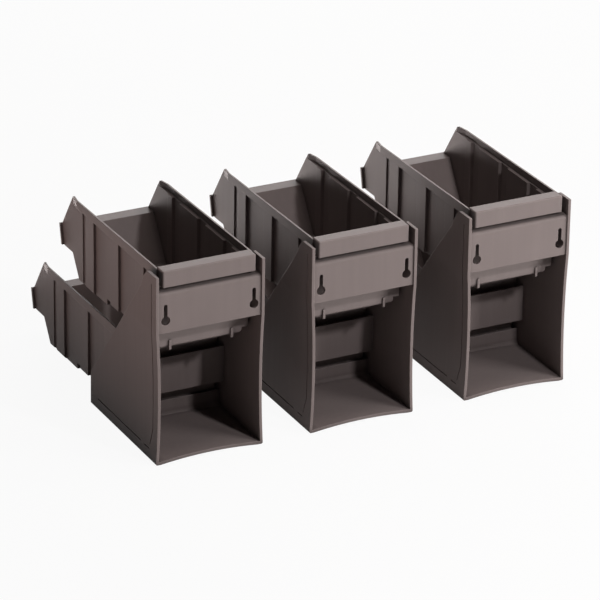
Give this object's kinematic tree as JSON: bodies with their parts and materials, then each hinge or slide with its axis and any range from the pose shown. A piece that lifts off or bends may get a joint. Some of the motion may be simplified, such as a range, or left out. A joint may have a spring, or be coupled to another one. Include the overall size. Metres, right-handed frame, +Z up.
{
  "type": "condiment organizer",
  "caption": "Counter organizer of separate stepped housings in a row, each holding a raised bin and a lower, forward bin that slide out to the front.",
  "frame": {"origin": "middle of the set's base, at counter level", "axes": "+Z up; the bins open and slide towards -Y; the keyhole panels face +Y; the modules stand in a row along X, the right one (seen from the front) at +X"},
  "size_m": [0.5002, 0.3496, 0.2234],
  "materials": {
    "housing": "fine matt moulded surface",
    "bin": "fine matt moulded surface"
  },
  "bodies": {
    "housings": {"housing_right": "housing", "housing_centre": "housing", "housing_left": "housing"},
    "upper_bin_right": {"upper_bin_right": "bin"},
    "lower_bin_right": {"lower_bin_right": "bin"},
    "upper_bin_centre": {"upper_bin_centre": "bin"},
    "lower_bin_centre": {"lower_bin_centre": "bin"},
    "upper_bin_left": {"upper_bin_left": "bin"},
    "lower_bin_left": {"lower_bin_left": "bin"}
  },
  "joints": [
    {"name": "upper_bin_right_slide", "type": "slide", "parent": "housings", "child": "upper_bin_right", "axis": [0, -1, 0], "range_m": [0, 0.0575]},
    {"name": "lower_bin_right_slide", "type": "slide", "parent": "housings", "child": "lower_bin_right", "axis": [0, -1, 0], "range_m": [0, 0.0575]},
    {"name": "upper_bin_centre_slide", "type": "slide", "parent": "housings", "child": "upper_bin_centre", "axis": [0, -1, 0], "range_m": [0, 0.0575]},
    {"name": "lower_bin_centre_slide", "type": "slide", "parent": "housings", "child": "lower_bin_centre", "axis": [0, -1, 0], "range_m": [0, 0.0575]},
    {"name": "upper_bin_left_slide", "type": "slide", "parent": "housings", "child": "upper_bin_left", "axis": [0, -1, 0], "range_m": [0, 0.0575]},
    {"name": "lower_bin_left_slide", "type": "slide", "parent": "housings", "child": "lower_bin_left", "axis": [0, -1, 0], "range_m": [0, 0.0575]}
  ]
}
